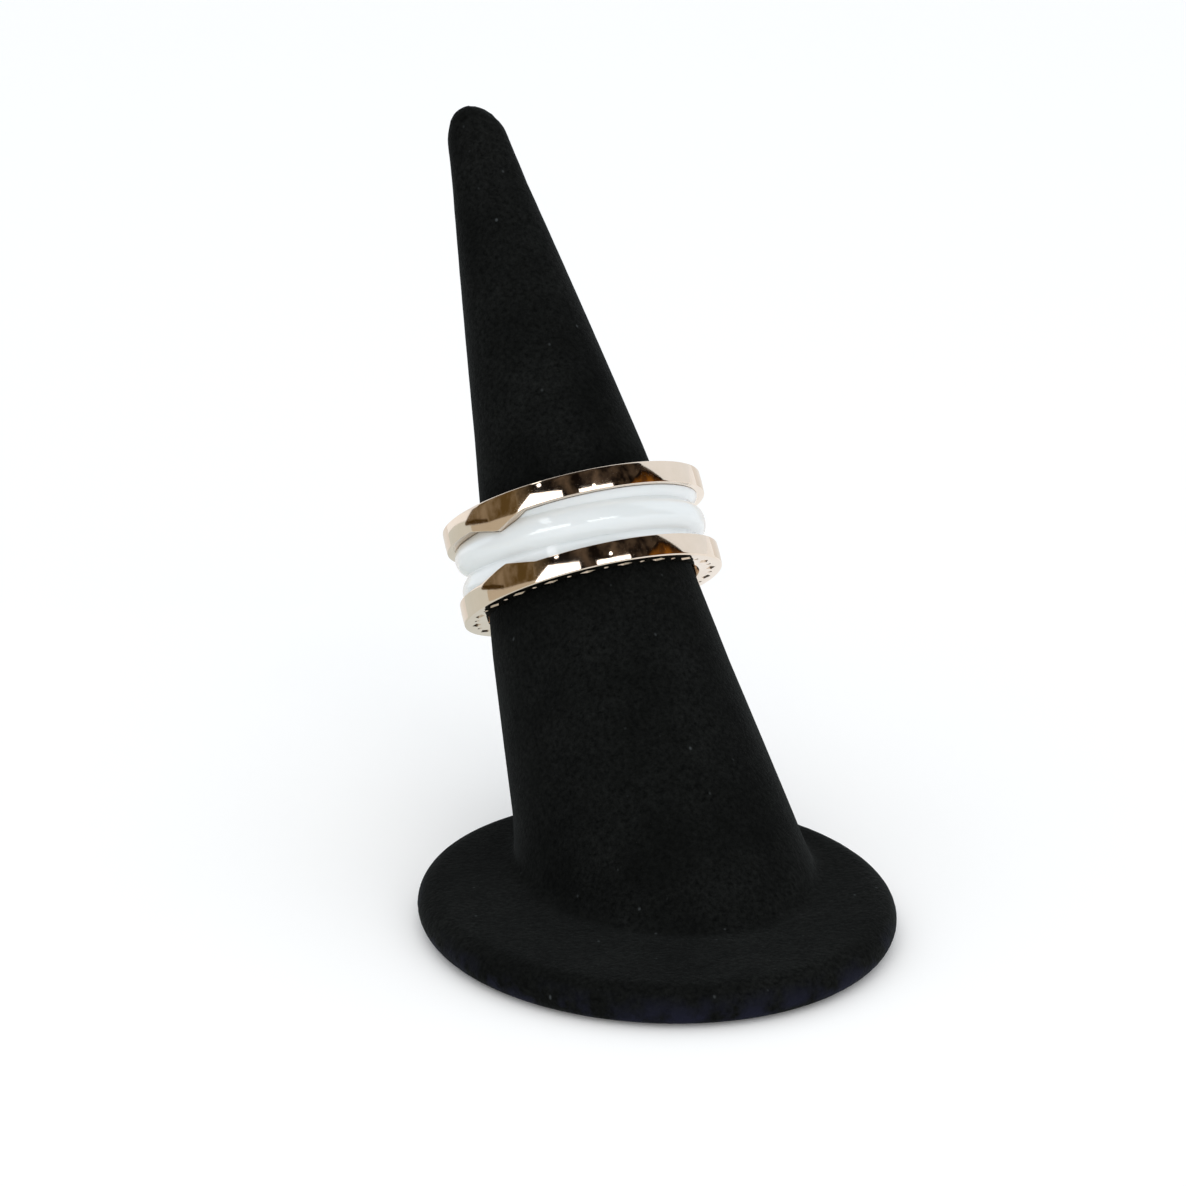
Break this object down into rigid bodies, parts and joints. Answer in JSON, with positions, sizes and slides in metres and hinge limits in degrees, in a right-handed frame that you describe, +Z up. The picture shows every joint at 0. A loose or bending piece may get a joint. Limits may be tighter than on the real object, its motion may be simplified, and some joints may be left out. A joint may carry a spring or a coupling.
{
  "type": "ceramic ring on a cone stand",
  "caption": "Finger ring with a white ceramic coil between two rose-gold rims, worn by a slanted black velvet cone stand on an oval foot.",
  "frame": {"origin": "middle of the oval foot's flat underside", "axes": "+Z up from the underside, +Y the way the cone leans, X across the foot"},
  "size_m": [0.0378, 0.0653, 0.0568],
  "materials": {
    "rose_gold": "mirror-polished rose gold with fine wear",
    "white_ceramic": "high gloss, cool white",
    "black_velvet": "short black velvet pile"
  },
  "bodies": {
    "root": {"lower_rim": "rose_gold", "upper_rim": "rose_gold", "ceramic_coil": "white_ceramic", "cone_stand": "black_velvet"}
  },
  "joints": []
}
